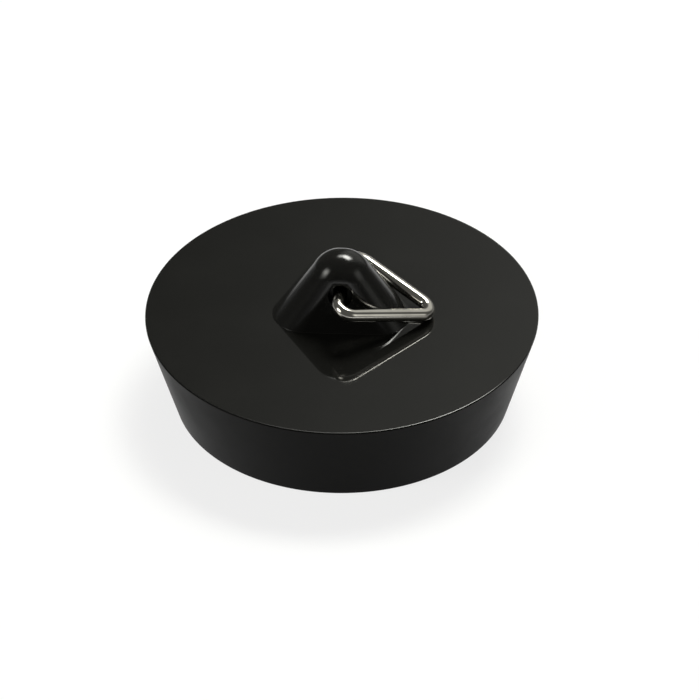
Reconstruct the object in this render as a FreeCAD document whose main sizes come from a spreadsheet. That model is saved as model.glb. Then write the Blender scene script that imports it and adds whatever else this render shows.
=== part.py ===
# Sink and bath plug: a moulded black plug with a pierced lug, and a bent wire triangle to pull it by.
# Millimetres, +Z up, origin at the centre of the ring that the plug stands on.
import FreeCAD, Part
import os
from math import atan2, cos, hypot, pi, radians, sin, sqrt, tan
import Sketcher

DRIVING_SIZES = [
    # Tapered disc, hollow underneath as a moulding is
    ("plug_top_radius", 22.55),
    ("plug_bottom_radius", 19.17),
    ("plug_height", 11.17),
    ("rim_round", 0.15),
    ("foot_round", 0.3),
    ("foot_width", 3.2),
    ("recess_depth", 6.5),
    ("recess_draft", 3.0),
    ("recess_round", 1.5),
    # Lug on the disc: obround at every height, with sloping flanks that run into a domed top
    ("lug_height", 8.75),
    ("lug_end_slope", 34.5),
    ("lug_end_round", 3.7),
    ("lug_side_slope", 9.0),
    ("lug_side_round", 2.8),
    ("lug_root_round", 0.12),
    # Cross hole through the lug: a plain bore, wider than the wire, with a short flare at each mouth
    ("hole_height", 4.78),
    ("hole_radius", 1.28),
    ("mouth_depth", 0.32),
    ("mouth_flare", 18.0),
    # Wire triangle: its base lies loose in the bore, a clearance from one side, its corner over the disc.
    # It reaches out to where its legs would meet, and they pass the lug's rounded end with a clearance.
    # One of its two base bends is wider than the other
    ("wire_radius", 0.75),
    ("wire_clearance", 0.41),
    ("bail_reach", 12.39),
    ("bail_lug_clearance", 0.3),
    ("bail_base_bend", 1.33),
    ("bail_far_bend", 2.1),
    ("bail_corner_bend", 1.5),
    ("bail_end_gap", 0.4),
    ("bail_rest_gap", 0.15),
]

# Depth of each dome outline below the top, as a share of the dome's height; squares space them evenly
DOME_SHARES = [step * step for step in (1, 0.85, 0.7, 0.55, 0.4, 0.25, 0.12, 0.05)]
# How far the cutter of the cross hole runs past the widest part of the lug
CUT_OVERRUN = 1.0
# Lengths closer than this count as equal when an edge is looked for
SAME = 1e-4

doc = FreeCAD.newDocument("drain_stopper")
sheet = doc.addObject("Spreadsheet::Sheet", "Sizes")
for row, (alias, value) in enumerate(DRIVING_SIZES, start=1):
    sheet.set("A%d" % row, alias)
    sheet.set("B%d" % row, str(value))
    sheet.setAlias("B%d" % row, alias)
doc.recompute()


def size(alias):
    """A driving dimension as a plain number."""
    return float(sheet.get(alias))


def cell(alias):
    """A driving dimension as a term of an expression."""
    return "Sizes." + alias


def new_sketch(body, name, role, offset="0"):
    """A sketch on one of a body's own origin planes, moved along the normal by an expression."""
    plane = next(feature for feature in body.Origin.OriginFeatures if feature.Role == role)
    sketch = body.newObject("Sketcher::SketchObject", name)
    sketch.AttachmentSupport = [(plane, "")]
    sketch.MapMode = "FlatFace"
    sketch.setExpression("AttachmentOffset.Base.z", offset)
    return sketch


def point(x, y):
    return FreeCAD.Vector(x, y, 0)


def arc(centre, radius, start, end):
    """Anticlockwise arc in a sketch's plane, between two angles in radians."""
    return Part.ArcOfCircle(Part.Circle(centre, FreeCAD.Vector(0, 0, 1), radius), start, end)


def fix(sketch, kind, *ends):
    return sketch.addConstraint(Sketcher.Constraint(kind, *ends))


def drive(sketch, expression, kind, *ends):
    """Add a dimension to a sketch and bind it to the sheet."""
    sketch.setExpression("Constraints[%d]" % fix(sketch, kind, *ends), expression)


def closed_polygon(sketch, corners):
    """Straight outline; each corner is ((x, y), (x expression, y expression)), with "0" for on the axis."""
    places = [point(*place) for place, _ in corners]
    lines = []
    for here, there in zip(places, places[1:] + places[:1]):
        lines.append(sketch.addGeometry(Part.LineSegment(here, there)))
    for here, there in zip(lines, lines[1:] + lines[:1]):
        fix(sketch, "Coincident", here, 2, there, 1)
    for line, ((x, y), (x_expression, y_expression)) in zip(lines, corners):
        if x_expression == "0":
            fix(sketch, "PointOnObject", line, 1, -2)
        else:
            drive(sketch, x_expression, "DistanceX", -1, 1, line, 1, x)
        if y_expression == "0":
            fix(sketch, "PointOnObject", line, 1, -1)
        else:
            drive(sketch, y_expression, "DistanceY", -1, 1, line, 1, y)


def obround(sketch, half_length, half_width):
    """Two half circles joined by straight sides, long in X; each size is a (value, expression) pair."""
    (length, length_expression), (width, width_expression) = half_length, half_width
    straight = length - width
    right = sketch.addGeometry(arc(point(straight, 0), width, -pi / 2, pi / 2))
    back = sketch.addGeometry(Part.LineSegment(point(straight, width), point(-straight, width)))
    left = sketch.addGeometry(arc(point(-straight, 0), width, pi / 2, 3 * pi / 2))
    front = sketch.addGeometry(Part.LineSegment(point(-straight, -width), point(straight, -width)))
    for here, there in ((right, back), (back, left), (left, front), (front, right)):
        fix(sketch, "Tangent", here, 2, there, 1)
    fix(sketch, "PointOnObject", right, 3, -1)
    fix(sketch, "Symmetric", right, 3, left, 3, -1, 1)
    drive(sketch, width_expression, "Radius", right, width)
    straight_expression = "(%s) - (%s)" % (length_expression, width_expression)
    drive(sketch, straight_expression, "DistanceX", -1, 1, right, 3, straight)


def round_edges(body, name, edges, alias):
    """Round some edges of the body's last feature, by a radius in the sheet."""
    if not edges:
        raise RuntimeError("no edge found for " + name)
    base = body.Tip
    fillet = body.newObject("PartDesign::Fillet", name)
    fillet.Base = (base, edges)
    fillet.setExpression("Radius", cell(alias))
    doc.recompute()


def edges_where(body, belongs):
    """Names of the edges of a body's last feature that pass a test."""
    edges = body.Tip.Shape.Edges
    return ["Edge%d" % index for index, edge in enumerate(edges, start=1) if belongs(edge)]


def level_circle(radius, height):
    """Test for a level round edge of one radius at one height."""
    def belongs(edge):
        curve = edge.Curve
        round_edge = isinstance(curve, Part.Circle) and abs(curve.Radius - radius) < SAME
        return round_edge and abs(curve.Center.z - height) < SAME
    return belongs


def disc(body):
    """Tapered disc with a drafted recess underneath, turned about Z."""
    top, foot, height = size("plug_top_radius"), size("plug_bottom_radius"), size("plug_height")
    mouth, depth = foot - size("foot_width"), size("recess_depth")
    mouth_expression = "%s - %s" % (cell("plug_bottom_radius"), cell("foot_width"))
    roof = mouth - depth * tan(radians(size("recess_draft")))
    roof_expression = "%s - %s * tan(%s)" % (mouth_expression, cell("recess_depth"), cell("recess_draft"))
    section = new_sketch(body, "disc_section", "XZ_Plane")
    closed_polygon(section, [
        ((0, depth), ("0", cell("recess_depth"))),
        ((roof, depth), (roof_expression, cell("recess_depth"))),
        ((mouth, 0), (mouth_expression, "0")),
        ((foot, 0), (cell("plug_bottom_radius"), "0")),
        ((top, height), (cell("plug_top_radius"), cell("plug_height"))),
        ((0, height), ("0", cell("plug_height"))),
    ])
    turned = body.newObject("PartDesign::Revolution", "disc")
    turned.Profile = section
    turned.ReferenceAxis = (section, ["V_Axis"])
    turned.Angle = 360
    doc.recompute()
    round_edges(body, "rim", edges_where(body, level_circle(top, height)), "rim_round")
    round_edges(body, "foot", edges_where(body, level_circle(foot, 0)), "foot_round")
    round_edges(body, "recess_corner", edges_where(body, level_circle(roof, depth)), "recess_round")


def lug_half(direction, depth, depth_expression):
    """Half size of the lug at a depth below its top: an arc down to a tangent point, then a flank."""
    slope, radius = cell("lug_%s_slope" % direction), cell("lug_%s_round" % direction)
    angle, arc_radius = radians(size("lug_%s_slope" % direction)), size("lug_%s_round" % direction)
    tangent = arc_radius * (1 - sin(angle))
    if depth > tangent:
        value = arc_radius * cos(angle) + (depth - tangent) * tan(angle)
    else:
        value = sqrt((2 * arc_radius - depth) * depth)
    tangent_expression = "%s * (1 - sin(%s))" % (radius, slope)
    flank = "%s * cos(%s) + (%s - %s) * tan(%s)" % (
        radius, slope, depth_expression, tangent_expression, slope)
    dome = "sqrt((2 * %s - %s) * %s)" % (radius, depth_expression, depth_expression)
    return value, "(%s > %s ? %s : %s)" % (depth_expression, tangent_expression, flank, dome)


def lug_root_half(direction):
    """Half size of the lug where it stands on the disc."""
    return lug_half(direction, size("lug_height"), cell("lug_height"))


def dome_depth():
    """Depth of the dome: down to the lower of the two tangent points."""
    depths = []
    expressions = []
    for direction in ("end", "side"):
        slope, radius = "lug_%s_slope" % direction, "lug_%s_round" % direction
        depths.append(size(radius) * (1 - sin(radians(size(slope)))))
        expressions.append("%s * (1 - sin(%s))" % (cell(radius), cell(slope)))
    return max(depths), "max(%s; %s)" % tuple(expressions)


def lug_outline(body, name, depth, depth_expression):
    """One obround outline of the lug, at a depth below its top."""
    height = "%s + %s - %s" % (cell("plug_height"), cell("lug_height"), depth_expression)
    sketch = new_sketch(body, name, "XY_Plane", height)
    obround(sketch, lug_half("end", depth, depth_expression), lug_half("side", depth, depth_expression))
    return sketch


def lug(body):
    """Straight flanks from the disc up to the dome, and the dome on top."""
    depth, depth_expression = dome_depth()
    flanks = body.newObject("PartDesign::AdditiveLoft", "lug_flanks")
    flanks.Profile = lug_outline(body, "lug_root", size("lug_height"), cell("lug_height"))
    flanks.Sections = [lug_outline(body, "lug_neck", depth, depth_expression)]
    flanks.Ruled = True
    doc.recompute()
    outlines = []
    for index, share in enumerate(DOME_SHARES):
        share_expression = "(%r * %s)" % (share, depth_expression)
        outlines.append(lug_outline(body, "dome_%d" % index, share * depth, share_expression))
    dome = body.newObject("PartDesign::AdditiveLoft", "lug_dome")
    dome.Profile = outlines[0]
    dome.Sections = outlines[1:]
    doc.recompute()


def cross_hole(body):
    """Hole along Y for the wire: a plain bore, flared at its mouths on both sides of the lug."""
    bore = size("hole_radius")
    depth = size("lug_height") - size("hole_height")
    depth_expression = "(%s - %s)" % (cell("lug_height"), cell("hole_height"))
    side, side_expression = lug_half("side", depth, depth_expression)
    half = side - size("mouth_depth")
    half_expression = "(%s - %s)" % (side_expression, cell("mouth_depth"))
    widest, widest_expression = lug_root_half("side")
    far = widest + CUT_OVERRUN
    far_expression = "(%s + %r)" % (widest_expression, CUT_OVERRUN)
    flare = (far - half) * tan(radians(size("mouth_flare")))
    flare_expression = "(%s - %s) * tan(%s)" % (far_expression, half_expression, cell("mouth_flare"))
    axis = size("plug_height") + size("hole_height")
    axis_expression = "%s + %s" % (cell("plug_height"), cell("hole_height"))
    bore_top = axis_expression + " + " + cell("hole_radius")
    mouth_top = bore_top + " + " + flare_expression
    section = new_sketch(body, "hole_section", "YZ_Plane")
    closed_polygon(section, [
        ((-far, axis), ("-" + far_expression, axis_expression)),
        ((far, axis), (far_expression, axis_expression)),
        ((far, axis + bore + flare), (far_expression, mouth_top)),
        ((half, axis + bore), (half_expression, bore_top)),
        ((-half, axis + bore), ("-" + half_expression, bore_top)),
        ((-far, axis + bore + flare), ("-" + far_expression, mouth_top)),
    ])
    uncut = body.Shape.Volume
    hole = body.newObject("PartDesign::Groove", "cross_hole")
    hole.Profile = section
    hole.ReferenceAxis = (section, ["Edge1"])
    hole.Angle = 360
    doc.recompute()
    if body.Shape.Volume > uncut - pi * bore * bore * half:
        raise RuntimeError("the cross hole cuts too little")


def on_lug_root(edge):
    """Test for an edge where the lug stands on the disc."""
    box = edge.BoundBox
    level = abs(box.ZMin - size("plug_height")) < SAME and abs(box.ZMax - size("plug_height")) < SAME
    return level and box.XMax < size("plug_top_radius") / 2


def plug_body():
    """The moulding: disc, lug and cross hole in one piece."""
    body = doc.addObject("PartDesign::Body", "plug_body")
    body.Label = "plug_body"
    disc(body)
    lug(body)
    cross_hole(body)
    round_edges(body, "lug_root_blend", edges_where(body, on_lug_root), "lug_root_round")
    return body


def bail_aside():
    """Place of the triangle's base in X: a clearance from the far side of the bore."""
    value = size("wire_radius") + size("wire_clearance") - size("hole_radius")
    expression = "(%s + %s - %s)" % (cell("wire_radius"), cell("wire_clearance"), cell("hole_radius"))
    return value, expression


def bail_half_base():
    """Half base of the triangle, for legs that clear the lug's rounded end halfway down to the disc."""
    depth = size("lug_height") - size("hole_height") / 2
    depth_expression = "(%s - %s / 2)" % (cell("lug_height"), cell("hole_height"))
    length, length_expression = lug_half("end", depth, depth_expression)
    width, width_expression = lug_half("side", depth, depth_expression)
    aside, aside_expression = bail_aside()
    beside = width + size("wire_radius") + size("bail_lug_clearance")
    beside_expression = "(%s + %s + %s)" % (
        width_expression, cell("wire_radius"), cell("bail_lug_clearance"))
    ahead = size("bail_reach") + aside - length + width
    ahead_expression = "(%s + %s - %s + %s)" % (
        cell("bail_reach"), aside_expression, length_expression, width_expression)
    value = beside * size("bail_reach") / sqrt(ahead * ahead - beside * beside)
    expression = "(%s * %s / sqrt(%s ^ 2 - %s ^ 2))" % (
        beside_expression, cell("bail_reach"), ahead_expression, beside_expression)
    return value, expression


def bail_path(sketch):
    """Centre line of the flat triangle: its base lies on the sketch's Y axis, open in the middle."""
    half_base, half_base_expression = bail_half_base()
    reach = size("bail_reach")
    base_bend, far_bend = size("bail_base_bend"), size("bail_far_bend")
    corner_bend = size("bail_corner_bend")
    half_gap = size("bail_end_gap") / 2
    leg = hypot(reach, half_base)
    along = point(reach / leg, half_base / leg)
    base_cut, far_cut = [bend * (leg + half_base) / reach for bend in (base_bend, far_bend)]
    near, tip, far = point(0, -half_base), point(reach, 0), point(0, half_base)
    leg_start, far_start = near + along * base_cut, near + along * far_cut
    leg_end = tip - along * (corner_bend * reach / half_base)
    flip = FreeCAD.Matrix(1, 0, 0, 0, 0, -1, 0, 0)
    turn = atan2(reach, half_base)
    first_side = sketch.addGeometry(Part.LineSegment(near, tip), True)
    second_side = sketch.addGeometry(Part.LineSegment(tip, far), True)
    path = [sketch.addGeometry(curve) for curve in (
        Part.LineSegment(point(0, -half_gap), point(0, base_cut - half_base)),
        arc(point(base_bend, base_cut - half_base), base_bend, pi, 2 * pi - turn),
        Part.LineSegment(leg_start, leg_end),
        arc(point(reach - corner_bend * leg / half_base, 0), corner_bend, -turn, turn),
        Part.LineSegment(flip * leg_end, flip * far_start),
        arc(point(far_bend, half_base - far_cut), far_bend, turn, pi),
        Part.LineSegment(point(0, half_base - far_cut), point(0, half_gap)),
    )]
    first_end, base_arc, first_leg, corner_arc, second_leg, far_arc, second_end = path
    fix(sketch, "PointOnObject", first_side, 1, -2)
    fix(sketch, "PointOnObject", first_side, 2, -1)
    fix(sketch, "Coincident", first_side, 2, second_side, 1)
    fix(sketch, "Symmetric", first_side, 1, second_side, 2, -1)
    for here, there in zip(path, path[1:]):
        fix(sketch, "Tangent", here, 2, there, 1)
    for run, side in ((first_leg, first_side), (second_leg, second_side)):
        fix(sketch, "PointOnObject", run, 1, side)
        fix(sketch, "PointOnObject", run, 2, side)
    for run, end in ((first_end, 1), (first_end, 2), (second_end, 1)):
        fix(sketch, "PointOnObject", run, end, -2)
    fix(sketch, "Symmetric", first_end, 1, second_end, 2, -1)
    drive(sketch, half_base_expression, "DistanceY", first_side, 1, -1, 1, half_base)
    drive(sketch, cell("bail_reach"), "DistanceX", -1, 1, first_side, 2, reach)
    drive(sketch, cell("bail_end_gap"), "DistanceY", first_end, 1, second_end, 2, 2 * half_gap)
    drive(sketch, cell("bail_base_bend"), "Radius", base_arc, base_bend)
    drive(sketch, cell("bail_far_bend"), "Radius", far_arc, far_bend)
    drive(sketch, cell("bail_corner_bend"), "Radius", corner_arc, corner_bend)


def rest_tilt():
    """Expression for the triangle's tilt below level, at which its corner hangs just over the disc."""
    stretch = "sqrt(1 + (%s / %s) ^ 2)" % (cell("bail_reach"), bail_half_base()[1])
    tip = "(%s - %s * (%s - 1))" % (cell("bail_reach"), cell("bail_corner_bend"), stretch)
    drop = "(%s - %s - %s)" % (cell("hole_height"), cell("wire_radius"), cell("bail_rest_gap"))
    return "asin(%s / %s)" % (drop, tip)


def wire_triangle():
    """One length of wire bent to a triangle, drawn flat and hung in the cross hole."""
    body = doc.addObject("PartDesign::Body", "wire_triangle")
    body.Label = "wire_triangle"
    path = new_sketch(body, "bail_path", "XY_Plane")
    bail_path(path)
    end = new_sketch(body, "wire_end", "XZ_Plane", cell("bail_end_gap") + " / 2")
    ring = end.addGeometry(Part.Circle(point(0, 0), FreeCAD.Vector(0, 0, 1), size("wire_radius")))
    fix(end, "Coincident", ring, 3, -1, 1)
    drive(end, cell("wire_radius"), "Radius", ring, size("wire_radius"))
    doc.recompute()
    bent = body.newObject("PartDesign::AdditivePipe", "bent_wire")
    bent.Profile = end
    bent.Spine = (path, [])
    doc.recompute()
    level = FreeCAD.Rotation(FreeCAD.Vector(0, 1, 0), 1)
    body.Placement = FreeCAD.Placement(FreeCAD.Vector(0, 0, 0), level)
    body.setExpression(".Placement.Base.x", bail_aside()[1])
    body.setExpression(".Placement.Base.z", "%s + %s" % (cell("plug_height"), cell("hole_height")))
    body.setExpression(".Placement.Rotation.Angle", rest_tilt())
    doc.recompute()
    return body


pieces = [plug_body(), wire_triangle()]
doc.recompute()
for thing in doc.Objects:
    if "Invalid" in thing.State or "Error" in thing.State:
        raise RuntimeError("%s failed: %s" % (thing.Name, thing.State))
for piece in pieces:
    if piece.Shape.isNull() or not piece.Shape.isValid() or len(piece.Shape.Solids) != 1:
        raise RuntimeError("%s is not one valid solid" % piece.Label)

os.makedirs("parts", exist_ok=True)
for piece in pieces:
    piece.Shape.exportStep("parts/%s.step" % piece.Label)
    print("%s: %.1f cubic mm" % (piece.Label, piece.Shape.Volume))
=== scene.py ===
# Sink and bath plug with a wire triangle to pull it by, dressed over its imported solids.
from math import asin, cos, hypot, pi, radians, sin, sqrt, tan

import bmesh
import bpy
from mathutils import Matrix, Vector


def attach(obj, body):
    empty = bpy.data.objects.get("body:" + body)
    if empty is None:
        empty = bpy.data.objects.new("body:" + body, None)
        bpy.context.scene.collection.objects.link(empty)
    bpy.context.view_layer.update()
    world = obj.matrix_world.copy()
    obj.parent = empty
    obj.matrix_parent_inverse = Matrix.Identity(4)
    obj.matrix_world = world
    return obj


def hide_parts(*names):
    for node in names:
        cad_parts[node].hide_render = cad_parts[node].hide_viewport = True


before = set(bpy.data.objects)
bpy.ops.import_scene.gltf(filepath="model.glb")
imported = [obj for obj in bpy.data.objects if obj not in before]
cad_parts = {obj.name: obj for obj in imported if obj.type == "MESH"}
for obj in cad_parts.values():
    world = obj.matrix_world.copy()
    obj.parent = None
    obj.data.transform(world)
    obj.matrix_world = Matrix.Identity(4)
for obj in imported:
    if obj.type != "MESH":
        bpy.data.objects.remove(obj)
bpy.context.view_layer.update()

# Plug: one black plastic moulding, a tapered disc that is hollow underneath, with a pierced
# tent-shaped lug on top. The half of the mould that makes the top and the lug is polished, and the
# side and the underside are satin.
MM = 0.001
TOP_RADIUS, BOTTOM_RADIUS, PLUG_HEIGHT = 22.55, 19.17, 11.17
RIM_ROUND, FOOT_ROUND, FOOT_WIDTH = 0.15, 0.3, 3.2
RECESS_DEPTH, RECESS_DRAFT, RECESS_ROUND = 6.5, radians(3), 1.5
LUG_HEIGHT, LUG_ROOT_ROUND = 8.75, 0.05
END_SLOPE, END_ROUND = radians(34.5), 3.7
SIDE_SLOPE, SIDE_ROUND = radians(9), 2.8
HOLE_HEIGHT, HOLE_RADIUS, MOUTH_DEPTH = 4.78, 1.28, 0.32
MOUTH_FLARE, MOUTH_ROUND = radians(18), 0.08
END_STEPS, DOME_STEPS, ROUND_STEPS, HOLE_STEPS = 96, 28, 6, 72
POLISHED_RIM_STEPS, DOME_CAP = 2, 0.05
SHARP_EDGE = radians(40)
SATIN, LAPPED, BUFFED = range(3)


def rounded(before, corner, after, radius):
    """Points of the arc that rounds one corner of a flat outline, in the outline's direction."""
    corner = Vector(corner)
    back, ahead = (Vector(before) - corner).normalized(), (Vector(after) - corner).normalized()
    half = back.angle(ahead) / 2
    centre = corner + (back + ahead).normalized() * (radius / sin(half))
    start = (corner + back * (radius / tan(half)) - centre).normalized()
    across = (ahead - back).normalized()
    across = (across - start * across.dot(start)).normalized()
    turns = [(pi - 2 * half) * step / ROUND_STEPS for step in range(ROUND_STEPS + 1)]
    return [centre + radius * (start * cos(turn) + across * sin(turn)) for turn in turns]


def lug_half(slope, radius, depth):
    """Half size of the lug at a depth below its top: an arc that runs into a straight flank."""
    tangent = radius * (1 - sin(slope))
    if depth > tangent:
        return radius * cos(slope) + (depth - tangent) * tan(slope)
    return sqrt((2 * radius - depth) * depth)


def lug_point(column, depth, outwards=0):
    """Point of the lug's outline at a depth, in a column of the mesh, or that far outside it."""
    end, turn = column
    length = lug_half(END_SLOPE, END_ROUND, depth)
    width = lug_half(SIDE_SLOPE, SIDE_ROUND, depth)
    reach = width + outwards
    height = PLUG_HEIGHT + LUG_HEIGHT - depth
    return (end * (length - width) + reach * cos(turn), reach * sin(turn), height)


# Columns of the mesh: down one rounded end of the lug, then the other, evenly spread on the disc
quarter = pi / 2
columns = [(1, -quarter + pi * step / END_STEPS) for step in range(END_STEPS + 1)]
columns += [(-1, turn + pi) for _, turn in columns]
spokes = [-quarter + 2 * pi * (index + 0.5) / len(columns) for index in range(len(columns))]

# Outline of the disc from its recess to its rim, and the rows of the mesh that it makes. The parting
# line of the mould, where satin gives way to polish, runs round the rim's round, above its middle
recess_mouth = BOTTOM_RADIUS - FOOT_WIDTH
recess_roof = recess_mouth - RECESS_DEPTH * tan(RECESS_DRAFT)
roof, mouth = (recess_roof, RECESS_DEPTH), (recess_mouth, 0)
foot, rim = (BOTTOM_RADIUS, 0), (TOP_RADIUS, PLUG_HEIGHT)
outline = rounded((0, RECESS_DEPTH), roof, mouth, RECESS_ROUND) + [mouth]
outline += rounded(mouth, foot, rim, FOOT_ROUND)
outline += rounded(foot, rim, (0, PLUG_HEIGHT), RIM_ROUND)
parting = len(outline) - 1 - POLISHED_RIM_STEPS
rows = [[(r * cos(spoke), r * sin(spoke), z) for spoke in spokes] for r, z in outline]

# Root of the lug: a small round between its flank and the disc, worked out square to the flank
root_rows = [[] for _ in range(ROUND_STEPS + 1)]
for column in columns:
    lean = abs(cos(column[1])) * (tan(END_SLOPE) - tan(SIDE_SLOPE)) + tan(SIDE_SLOPE)
    for row, (out, up) in zip(root_rows, rounded((1, 0), (0, 0), (-lean, 1), LUG_ROOT_ROUND)):
        row.append(lug_point(column, LUG_HEIGHT - up, out + lean * up))
rows += root_rows
flank = len(rows) - 1

# Dome of the lug, from where both its flanks turn in up to a small cap
neck = max(END_ROUND * (1 - sin(END_SLOPE)), SIDE_ROUND * (1 - sin(SIDE_SLOPE)))
for step in range(DOME_STEPS + 1):
    share = 1 - (1 - DOME_CAP) * step / DOME_STEPS
    rows.append([lug_point(column, neck * share ** 2) for column in columns])

# Cross hole: a plain bore with a short flare at each mouth, rounded where it opens on a side of the lug
widening, falling = tan(MOUTH_FLARE), tan(SIDE_SLOPE)
side_distance = lug_half(SIDE_SLOPE, SIDE_ROUND, LUG_HEIGHT - HOLE_HEIGHT)
hole_level = PLUG_HEIGHT + HOLE_HEIGHT
hole_columns = []
for step in range(HOLE_STEPS):
    turn = 2 * pi * step / HOLE_STEPS
    tilt = falling * sin(turn)
    edge = (HOLE_RADIUS + MOUTH_DEPTH * widening) / (1 + tilt * widening)
    throat, lip = (HOLE_RADIUS, side_distance - MOUTH_DEPTH), (edge, side_distance - tilt * edge)
    half_bore = rounded((lip[0] + 1, lip[1] - tilt), lip, throat, MOUTH_ROUND) + [throat]
    bore = [(r, -y) for r, y in half_bore] + [(r, y) for r, y in reversed(half_bore)]
    hole_columns.append([(r * cos(turn), y, hole_level + r * sin(turn)) for r, y in bore])

# Faces between the rows, but for the lug's two flat side panels, which are filled round the hole.
# A panel is given by its column and the end of the bore that opens in it
shell = bmesh.new()
grid = [[shell.verts.new(Vector(place) * MM) for place in row] for row in rows]
bores = [[shell.verts.new(Vector(place) * MM) for place in column] for column in hole_columns]
next_bores = bores[1:] + bores[:1]
panels = {len(columns) - 1: 0, END_STEPS: -1}
for level, (low, high) in enumerate(zip(grid, grid[1:])):
    finish = SATIN if level < parting else LAPPED if level < len(outline) else BUFFED
    for index in range(len(columns)):
        following = (index + 1) % len(columns)
        if level == flank and index in panels:
            continue
        face = shell.faces.new((low[index], low[following], high[following], high[index]))
        face.material_index = finish
for here, there in zip(bores, next_bores):
    for step in range(len(here) - 1):
        face = shell.faces.new((here[step], here[step + 1], there[step + 1], there[step]))
        face.material_index = BUFFED
low, high = grid[flank], grid[flank + 1]
for index, end in panels.items():
    following = (index + 1) % len(columns)
    panel_edges = [(low[index], low[following]), (high[index], high[following]),
                   (low[index], high[index]), (low[following], high[following])]
    panel_edges += [(here[end], there[end]) for here, there in zip(bores, next_bores)]
    filled = bmesh.ops.triangle_fill(
        shell, use_beauty=True, edges=[shell.edges.get(pair) for pair in panel_edges])
    for face in filled["geom"]:
        if isinstance(face, bmesh.types.BMFace):
            face.material_index = BUFFED
for row, finish in ((grid[0], SATIN), (grid[-1], BUFFED)):
    pole = shell.verts.new((0, 0, row[0].co.z))
    for here, there in zip(row, row[1:] + row[:1]):
        shell.faces.new((here, there, pole)).material_index = finish
bmesh.ops.recalc_face_normals(shell, faces=shell.faces)
for face in shell.faces:
    face.smooth = True
for edge in shell.edges:
    edge.smooth = edge.calc_face_angle(0) < SHARP_EDGE
plug_mesh = bpy.data.meshes.new("plug_moulding")
shell.to_mesh(plug_mesh)
shell.free()
plug = bpy.data.objects.new("plug_moulding", plug_mesh)
bpy.context.scene.collection.objects.link(plug)


def plain_mesh(piece):
    """Replace a piece's mesh by what its modifiers make of it, and drop the modifiers."""
    evaluated = piece.evaluated_get(bpy.context.evaluated_depsgraph_get())
    piece.data = bpy.data.meshes.new_from_object(evaluated)
    piece.data.name = piece.name
    piece.modifiers.clear()


even = plug.modifiers.new("even_shading", "WEIGHTED_NORMAL")
even.mode, even.weight, even.keep_sharp = "FACE_AREA", 100, True
plain_mesh(plug)


class Link:
    """An output of a node, or a tree to start from. Sums on it add Math nodes, node() any other."""

    def __init__(self, tree, socket=None):
        self.tree, self.socket = tree, socket

    def node(self, kind, inputs=(), output=0, **settings):
        made = self.tree.nodes.new(kind)
        for setting, value in settings.items():
            setattr(made, setting, value)
        for name, value in dict(inputs).items():
            if isinstance(value, Link):
                self.tree.links.new(value.socket, made.inputs[name])
            else:
                made.inputs[name].default_value = value
        return Link(self.tree, made.outputs[output] if made.outputs else None)

    def other(self, output):
        """Another output of the same node."""
        return Link(self.tree, self.socket.node.outputs[output])

    def math(self, operation, *values):
        return self.node("ShaderNodeMath", dict(enumerate(values)), operation=operation)

    def __add__(self, other):
        return self.math("ADD", self, other)

    def __sub__(self, other):
        return self.math("SUBTRACT", self, other)

    def __rsub__(self, other):
        return self.math("SUBTRACT", other, self)

    def __mul__(self, other):
        return self.math("MULTIPLY", self, other)

    def __truediv__(self, other):
        return self.math("DIVIDE", self, other)

    __radd__, __rmul__ = __add__, __mul__


def finish_material(name):
    """A new material with no nodes yet; returns it and its tree to start from."""
    material = bpy.data.materials.new(name)
    material.use_nodes = True
    material.node_tree.nodes.clear()
    return material, Link(material.node_tree)


def surface(start, inputs):
    """Close a material with one shader."""
    shader = start.node("ShaderNodeBsdfPrincipled", inputs)
    start.node("ShaderNodeOutputMaterial", {"Surface": shader})


def noise(start, place, size, detail):
    """Cloudy pattern with features of about one size, in millimetres."""
    return start.node("ShaderNodeTexNoise", {
        "Vector": place, "Scale": 1 / (size * MM), "Detail": detail, "Roughness": 0.55})


def between(start, share, low, high):
    """Colour between two others, by a share."""
    return start.node("ShaderNodeMix", {0: share, 6: low, 7: high}, 2, data_type="RGBA")


def band(start, value, low, high):
    """A value's place between two others, kept between 0 and 1."""
    return start.node("ShaderNodeMapRange", {
        "Value": value, "From Min": low, "From Max": high}, interpolation_type="SMOOTHSTEP")


# Satin finish: a fine spark-eroded grain, a little greyer where it has been handled
GRAIN_SIZE, GRAIN_DEPTH, HANDLED_SIZE = 0.16, 0.02, 6
SATIN_BLACK, SATIN_GREY = (0.0022, 0.0022, 0.0020, 1), (0.0042, 0.0042, 0.0038, 1)
satin, start = finish_material("satin_black")
place = start.node("ShaderNodeTexCoord", output="Object")
grain = noise(start, place, GRAIN_SIZE, detail=3)
handling = band(start, noise(start, place, HANDLED_SIZE, detail=3), low=0.35, high=0.75)
grain_bump = start.node("ShaderNodeBump", {
    "Strength": 0.35, "Distance": GRAIN_DEPTH * MM, "Height": grain})
surface(start, {
    "Base Color": between(start, handling * 0.6 + grain * 0.4, SATIN_BLACK, SATIN_GREY),
    "Roughness": 0.36 + handling * 0.07 + grain * 0.06,
    "Specular IOR Level": 0.045,
    "Normal": grain_bump})
plug.data.materials.append(satin)

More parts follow.
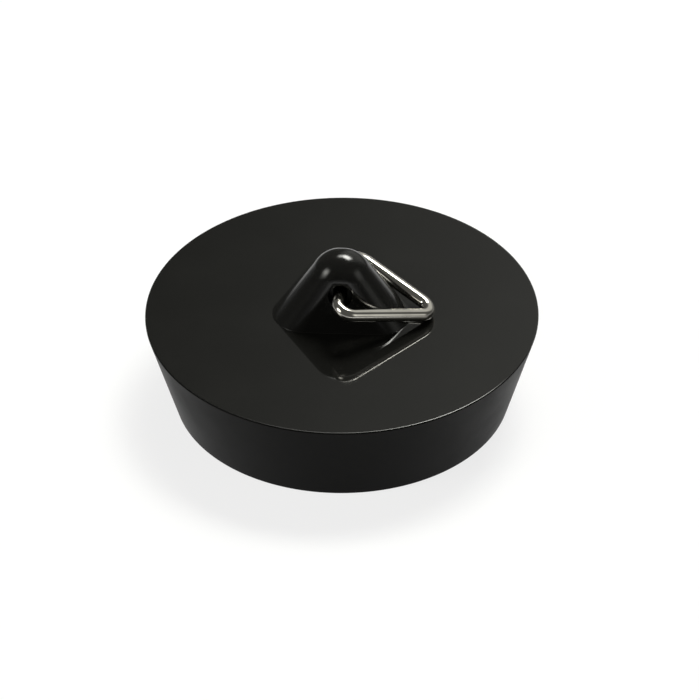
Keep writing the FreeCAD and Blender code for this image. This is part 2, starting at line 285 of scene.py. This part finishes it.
# Polished finishes, with faint wiping smears, hairlines and a slow waviness: near mirror gloss on the
# flat top, which is lapped, and a softer gloss on the lug, whose part of the mould is buffed by hand
SMEAR_SIZE, HAIRLINE_SIZE, WAVE_SIZE = 9, 0.12, 5
HAIRLINE_TURN, HAIRLINE_STRETCH = radians(35), (0.03, 1, 1)
POLISHED_BLACK, SMEARED_BLACK = (0.0066, 0.0066, 0.0060, 1), (0.0082, 0.0082, 0.0075, 1)
for name, roughness, gloss, wave_depth in (
        ("lapped_black", 0.04, 0.5, 0.004),
        ("buffed_black", 0.14, 0.36, 0.008)):
    polish, start = finish_material(name)
    place = start.node("ShaderNodeTexCoord", output="Object")
    smear = band(start, noise(start, place, SMEAR_SIZE, detail=4), low=0.4, high=0.8)
    stretched = start.node("ShaderNodeMapping", {
        "Vector": place, "Rotation": (0, 0, HAIRLINE_TURN), "Scale": HAIRLINE_STRETCH})
    hairline = band(start, noise(start, stretched, HAIRLINE_SIZE, detail=1), low=0.66, high=0.74)
    wave = noise(start, place, WAVE_SIZE, detail=1)
    wave_bump = start.node("ShaderNodeBump", {
        "Strength": 0.2, "Distance": wave_depth * MM, "Height": wave})
    surface(start, {
        "Base Color": between(start, smear, POLISHED_BLACK, SMEARED_BLACK),
        "Roughness": roughness + smear * 0.03 + hairline * 0.05,
        "Specular IOR Level": gloss,
        "Normal": wave_bump})
    plug.data.materials.append(polish)

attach(plug, "plug")
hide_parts("plug_body")

# Wire triangle: one length of bright drawn stainless wire, bent at three corners, of which the far one
# at the base is wider than the near one. Its two cut ends go into the lug's cross hole from both sides,
# so its base is its own hinge pin, and it lies loose in the hole, which is a good deal wider.
WIRE_RADIUS, WIRE_CLEARANCE, LUG_CLEARANCE, REACH = 0.75, 0.41, 0.3, 12.39
NEAR_BEND, FAR_BEND, CORNER_BEND, END_GAP, REST_GAP = 1.33, 2.1, 1.5, 0.4, 0.15
WIRE_SIDES, BEND_STEPS = 48, 28

# The legs pass the lug's rounded end with a clearance halfway down to the disc, and the free corner
# hangs just over the disc
hinge_aside = WIRE_RADIUS + WIRE_CLEARANCE - HOLE_RADIUS
halfway = LUG_HEIGHT - HOLE_HEIGHT / 2
lug_length = lug_half(END_SLOPE, END_ROUND, halfway)
lug_width = lug_half(SIDE_SLOPE, SIDE_ROUND, halfway)
beside = lug_width + WIRE_RADIUS + LUG_CLEARANCE
ahead = REACH + hinge_aside - lug_length + lug_width
half_base = beside * REACH / sqrt(ahead ** 2 - beside ** 2)
corner_set_back = CORNER_BEND * (hypot(1, REACH / half_base) - 1)
rest_tilt = asin((HOLE_HEIGHT - WIRE_RADIUS - REST_GAP) / (REACH - corner_set_back))

# Drawn finish: fine streaks along the wire, from the pattern that its own mesh carries, and stains
STREAK_SCALE, STREAK_LENGTHS, STREAK_DEPTH, STAIN_SIZE = 5, 60, 0.006, 1.6
STEEL_BRIGHT, STEEL_DULL = (0.70, 0.68, 0.63, 1), (0.50, 0.475, 0.43, 1)
steel, start = finish_material("drawn_stainless")
drawn = start.node("ShaderNodeAttribute", output="Vector", attribute_name="drawn")
streak = start.node("ShaderNodeTexNoise", {"Vector": drawn, "Scale": STREAK_SCALE, "Detail": 4})
place = start.node("ShaderNodeTexCoord", output="Object")
stain = band(start, noise(start, place, STAIN_SIZE, detail=3), low=0.4, high=0.75)
streak_bump = start.node("ShaderNodeBump", {
    "Strength": 0.3, "Distance": STREAK_DEPTH * MM, "Height": streak})
surface(start, {
    "Base Color": between(start, streak * 0.6 + stain * 0.3, STEEL_BRIGHT, STEEL_DULL),
    "Metallic": 1.0,
    "Roughness": 0.06 + streak * 0.08 + stain * 0.05,
    "Normal": streak_bump})

bending = bpy.data.node_groups.new("bent_wire", "GeometryNodeTree")
wire_sizes = {
    "Half base": half_base * MM, "Reach": REACH * MM, "End gap": END_GAP * MM,
    "Near bend": NEAR_BEND * MM, "Far bend": FAR_BEND * MM, "Corner bend": CORNER_BEND * MM,
    "Wire radius": WIRE_RADIUS * MM, "Rest tilt": rest_tilt,
    "Hinge aside": hinge_aside * MM, "Hinge height": hole_level * MM}
sockets = {}
for name in wire_sizes:
    sockets[name] = bending.interface.new_socket(
        name, in_out="INPUT", socket_type="NodeSocketFloat")
sockets["Finish"] = bending.interface.new_socket(
    "Finish", in_out="INPUT", socket_type="NodeSocketMaterial")
bending.interface.new_socket("Wire", in_out="OUTPUT", socket_type="NodeSocketGeometry")
given = bending.nodes.new("NodeGroupInput")
taken = {name: Link(bending, given.outputs[name]) for name in sockets}
start = Link(bending)
half_gap = taken["End gap"] / 2
corners = [(0.0, 0 - half_gap), (0.0, 0 - taken["Half base"]), (taken["Reach"], 0.0),
           (0.0, taken["Half base"]), (0.0, half_gap)]
bends = [0.0, taken["Near bend"], taken["Corner bend"], taken["Far bend"], 0.0]
which = start.node("GeometryNodeInputIndex")


def per_corner(kind, values):
    """A field that gives each corner of the wire's path its own value."""
    made = bending.nodes.new("GeometryNodeIndexSwitch")
    made.data_type = kind
    while len(made.index_switch_items) < len(values):
        made.index_switch_items.new()
    bending.links.new(which.socket, made.inputs["Index"])
    for socket, value in zip(list(made.inputs)[1:], values):
        if isinstance(value, Link):
            bending.links.new(value.socket, socket)
        else:
            socket.default_value = value
    return Link(bending, made.outputs[0])


def captured(kind, geometry, field):
    """A geometry that carries a field along as it stands, and the field that it carries."""
    made = bending.nodes.new("GeometryNodeCaptureAttribute")
    made.capture_items.new(kind, "Carried")
    bending.links.new(geometry.socket, made.inputs["Geometry"])
    bending.links.new(field.socket, made.inputs["Carried"])
    return [Link(bending, made.outputs[name]) for name in ("Geometry", "Carried")]


places = [start.node("ShaderNodeCombineXYZ", {"X": x, "Y": y}) for x, y in corners]
bars = start.node("GeometryNodeMeshLine", {"Count": len(corners)})
placed = start.node("GeometryNodeSetPosition", {
    "Geometry": bars, "Position": per_corner("VECTOR", places)})
sharp_path = start.node("GeometryNodeMeshToCurve", {"Mesh": placed})
path = start.node("GeometryNodeFilletCurve", {
    "Curve": sharp_path, "Count": BEND_STEPS, "Radius": per_corner("FLOAT", bends)}, mode="POLY")
path, along = captured("FLOAT", path, start.node("GeometryNodeSplineParameter", output="Length"))
section = start.node("GeometryNodeCurvePrimitiveCircle", {
    "Resolution": WIRE_SIDES, "Radius": taken["Wire radius"]})
section, around = captured("VECTOR", section, start.node("GeometryNodeInputPosition"))
tube = start.node("GeometryNodeCurveToMesh", {
    "Curve": path, "Profile Curve": section, "Fill Caps": True})
aside = start.node("ShaderNodeSeparateXYZ", {0: around})
pattern = start.node("ShaderNodeCombineXYZ", {
    "X": aside / taken["Wire radius"], "Y": aside.other("Y") / taken["Wire radius"],
    "Z": along * STREAK_LENGTHS})
marked = start.node("GeometryNodeStoreNamedAttribute", {
    "Geometry": tube, "Name": "drawn", "Value": pattern}, data_type="FLOAT_VECTOR", domain="POINT")
smooth = start.node("GeometryNodeSetShadeSmooth", {"Geometry": marked})
hung = start.node("GeometryNodeTransform", {
    "Geometry": smooth,
    "Translation": start.node("ShaderNodeCombineXYZ", {
        "X": taken["Hinge aside"], "Z": taken["Hinge height"]}),
    "Rotation": start.node("ShaderNodeCombineXYZ", {"Y": taken["Rest tilt"]})})
whole = start.node("GeometryNodeSetMaterial", {
    "Geometry": start.node("GeometryNodeRealizeInstances", {"Geometry": hung}),
    "Material": taken["Finish"]})
start.node("NodeGroupOutput", {"Wire": whole})

wire = bpy.data.objects.new("wire_triangle_bent", bpy.data.meshes.new("wire_triangle_bent"))
bpy.context.scene.collection.objects.link(wire)
bend = wire.modifiers.new("bend", "NODES")
bend.node_group = bending
for name, value in wire_sizes.items():
    bend[sockets[name].identifier] = value
bend[sockets["Finish"].identifier] = steel
plain_mesh(wire)
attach(wire, "bail")
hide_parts("wire_triangle")

# Stage: a sheet of white paper in a dim and slightly warm room, with a painted pool of light on it: its
# colour and glow are painted from white round the plug down to grey away from it.
# Two soft boxes hang over the back and one stands on each side, and the polished top mirrors a dim
# card low behind the plug.
FLOOR_SIZE, FLOOR_DROP = 6.0, 0.02 * MM
FLOOR_WHITE, FLOOR_GLOW, PAINTED_FLOOR_DUSK = 0.92, 0.8, 0.25
PAINTED_POOL_CENTRE, PAINTED_POOL_START, PAINTED_POOL_END = Vector((30.424, 17.973, 0)) * MM, 0.1, 0.16
ROOM_LIGHT, WARM_WHITE = 0.1, (1.0, 1.0, 0.94, 1)


def grey(level):
    """A plain grey as a colour."""
    return (level, level, level, 1)


paper, start = finish_material("paper_painted_light_pool")
direct = start.node("ShaderNodeLightPath", output="Is Camera Ray")
seen = start.math("MAXIMUM", direct, direct.other("Is Glossy Ray"))
seen = start.math("MAXIMUM", seen, direct.other("Is Transmission Ray"))
off_painted_pool_centre = start.node("ShaderNodeVectorMath", {
    0: start.node("ShaderNodeTexCoord", output="Object"), 1: PAINTED_POOL_CENTRE},
    output="Value", operation="DISTANCE")
# Painted pool of light: the paper's colour and glow fade from white near the plug to a grey dusk
# further out, in place of a lamp's falloff
painted_light_pool = band(start, off_painted_pool_centre, low=PAINTED_POOL_END, high=PAINTED_POOL_START)
matt = start.node("ShaderNodeBsdfDiffuse", {
    "Color": between(start, painted_light_pool, grey(PAINTED_FLOOR_DUSK), grey(FLOOR_WHITE))})
glow = start.node("ShaderNodeEmission", {
    "Color": between(start, painted_light_pool, grey(PAINTED_FLOOR_DUSK), grey(1))})
start.node("ShaderNodeOutputMaterial", {
    "Surface": start.node("ShaderNodeMixShader", {0: seen * FLOOR_GLOW, 1: matt, 2: glow})})
half_floor = FLOOR_SIZE / 2
floor_corners = [(x * half_floor, y * half_floor, -FLOOR_DROP)
                 for x, y in ((-1, -1), (1, -1), (1, 1), (-1, 1))]
floor_mesh = bpy.data.meshes.new("floor")
floor_mesh.from_pydata(floor_corners, [], [(0, 1, 2, 3)])
floor_mesh.materials.append(paper)
floor = bpy.data.objects.new("floor", floor_mesh)
bpy.context.scene.collection.objects.link(floor)

room = bpy.data.worlds.new("room")
room.use_nodes = True
room.node_tree.nodes.clear()
start = Link(room.node_tree)
start.node("ShaderNodeOutputWorld", {"Surface": start.node("ShaderNodeBackground", {
    "Color": WARM_WHITE, "Strength": ROOM_LIGHT})})
bpy.context.scene.world = room


def direction(compass, above):
    """Unit vector at a compass angle, from the back towards the right, and an angle above level."""
    return Vector((sin(compass) * cos(above), cos(compass) * cos(above), sin(above)))


# Each soft box: name, compass angle and angle above level in degrees, distance, width and height in
# metres, brightness, and the share of it that is evenly bright inside its soft edge
HALF_BOX = 0.5
for name, compass, above, distance, width, height, brightness, core in (
        ("back_box", 25, 61, 1.0, 0.6, 0.5, 30, 0.2),
        ("back_wing", -7, 61, 1.0, 0.4, 0.4, 10, 0.0),
        ("left_box", -120, 27, 1.0, 0.7, 0.7, 8, 0.0),
        ("right_box", 115, 22, 1.0, 0.9, 0.8, 1.1, 0.0),
        ("back_card", 30, 35, 0.35, 0.43, 0.43, 0.5, 0.4)):
    light = bpy.data.lights.new(name, "AREA")
    light.shape, light.size, light.size_y = "RECTANGLE", width, height
    light.energy = pi * width * height
    light.use_nodes = True
    light.node_tree.nodes.clear()
    start = Link(light.node_tree)
    spot = start.node("ShaderNodeSeparateXYZ", {
        0: start.node("ShaderNodeNewGeometry", output="Parametric")})
    off_middle = [start.math("ABSOLUTE", spot.other(axis) - HALF_BOX) for axis in ("X", "Y")]
    fades = [band(start, off, low=HALF_BOX, high=HALF_BOX * core) for off in off_middle]
    start.node("ShaderNodeOutputLight", {"Surface": start.node("ShaderNodeEmission", {
        "Color": WARM_WHITE, "Strength": fades[0] * fades[1] * brightness})})
    lamp = bpy.data.objects.new(name, light)
    towards = direction(radians(compass), radians(above))
    lamp.location = towards * distance
    lamp.rotation_euler = towards.to_track_quat("Z", "Y").to_euler()
    bpy.context.scene.collection.objects.link(lamp)

# Camera: a long lens a little under 40 degrees above level, square to the lug but for a few degrees,
# and rolled by a fraction of one.
LENS, SENSOR, CLIP_START, CLIP_END = 671.7, 36.0, 0.05, 50
AIM, DISTANCE = Vector((0.424, 7.973, 0)) * MM, 1.5062
ABOVE, ROUND, ROLL = radians(37.078), radians(3.457), radians(-0.374)
right = Vector((cos(ROUND), sin(ROUND), 0))
towards = direction(pi - ROUND, ABOVE)
up = towards.cross(right)
rolled_right = right * cos(ROLL) + up * sin(ROLL)
rolled_up = up * cos(ROLL) - right * sin(ROLL)
lens = bpy.data.cameras.new("camera")
lens.lens, lens.sensor_width, lens.sensor_fit = LENS, SENSOR, "HORIZONTAL"
lens.clip_start, lens.clip_end = CLIP_START, CLIP_END
camera = bpy.data.objects.new("camera", lens)
axes = Matrix((rolled_right, rolled_up, towards)).transposed().to_4x4()
camera.matrix_world = Matrix.Translation(AIM + towards * DISTANCE) @ axes
bpy.context.scene.collection.objects.link(camera)
bpy.context.scene.camera = camera
bpy.context.scene.view_settings.view_transform = "Standard"
